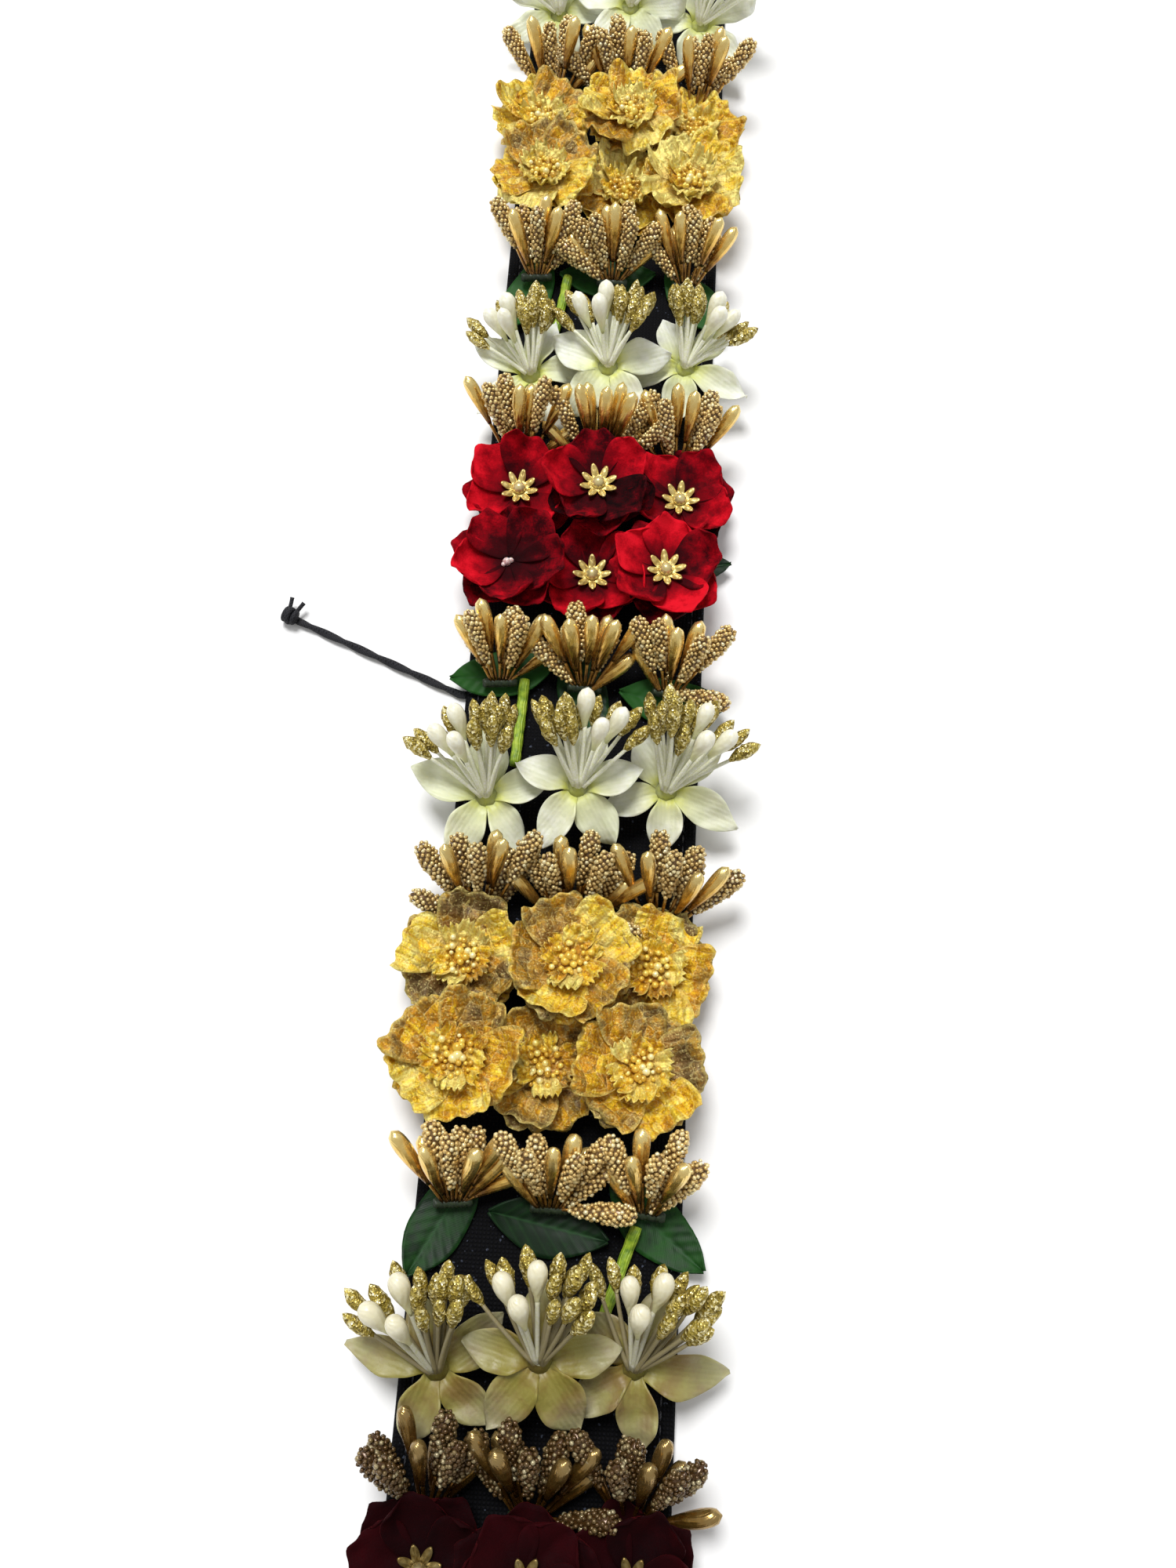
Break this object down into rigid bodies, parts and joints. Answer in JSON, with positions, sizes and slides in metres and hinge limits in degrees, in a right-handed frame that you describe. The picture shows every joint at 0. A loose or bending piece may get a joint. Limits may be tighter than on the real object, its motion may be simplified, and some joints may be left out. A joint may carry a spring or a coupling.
{
  "type": "jadanagam braid ornament",
  "caption": "Long floral braid ornament: jasmine, gilt and velvet blooms, gold pips and leaves in rows along a black band, with an elastic tie at one side.",
  "frame": {"origin": "middle of the backing band's back face", "axes": "+X across the band, +Y along it towards its upper end, +Z out of the hair, through the flowers"},
  "size_m": [0.1128, 0.4988, 0.034],
  "materials": {
    "band": "matt",
    "jasmine": "satin",
    "gilt_mesh": "glitter",
    "velvet": "velvet",
    "gilt": "polished",
    "pip": "pearl",
    "stamen": "glitter",
    "leaf": "satin",
    "tie": "matt"
  },
  "bodies": {
    "root": {"backing_band": "band", "white_flower_01": "jasmine", "white_flower_02": "jasmine", "white_flower_03": "jasmine", "white_flower_04": "jasmine", "white_flower_05": "jasmine", "white_flower_06": "jasmine", "white_flower_07": "jasmine", "white_flower_08": "jasmine", "white_flower_09": "jasmine", "white_flower_10": "jasmine", "white_flower_11": "jasmine", "white_flower_12": "jasmine", "gold_flower_01": "gilt_mesh", "gold_flower_02": "gilt_mesh", "gold_flower_03": "gilt_mesh", "gold_flower_04": "gilt_mesh", "gold_flower_05": "gilt_mesh", "gold_flower_06": "gilt_mesh", "gold_flower_07": "gilt_mesh", "gold_flower_08": "gilt_mesh", "gold_flower_09": "gilt_mesh", "gold_flower_10": "gilt_mesh", "gold_flower_11": "gilt_mesh", "gold_flower_12": "gilt_mesh", "red_flower_01": "velvet", "red_flower_02": "velvet", "red_flower_03": "velvet", "red_flower_04": "velvet", "red_flower_05": "velvet", "red_flower_06": "velvet", "red_flower_07": "velvet", "red_flower_08": "velvet", "red_flower_09": "velvet", "red_flower_10": "velvet", "red_flower_11": "velvet", "red_flower_12": "velvet", "bud_spray_row_01": "jasmine", "bud_spray_row_02": "jasmine", "bud_spray_row_03": "jasmine", "bud_spray_row_04": "jasmine", "stamen_row_01": "stamen", "stamen_row_02": "stamen", "stamen_row_03": "stamen", "stamen_row_04": "stamen", "upper_pip_row_01": "pip", "upper_pip_row_02": "pip", "upper_pip_row_03": "pip", "upper_pip_row_04": "pip", "lower_pip_row_01": "pip", "lower_pip_row_02": "pip", "lower_pip_row_03": "pip", "lower_pip_row_04": "pip", "leaf_row_01": "leaf", "leaf_row_02": "leaf", "leaf_row_03": "leaf", "star_caps": "gilt", "tie_cord": "tie", "tie_knot": "tie"}
  },
  "joints": []
}
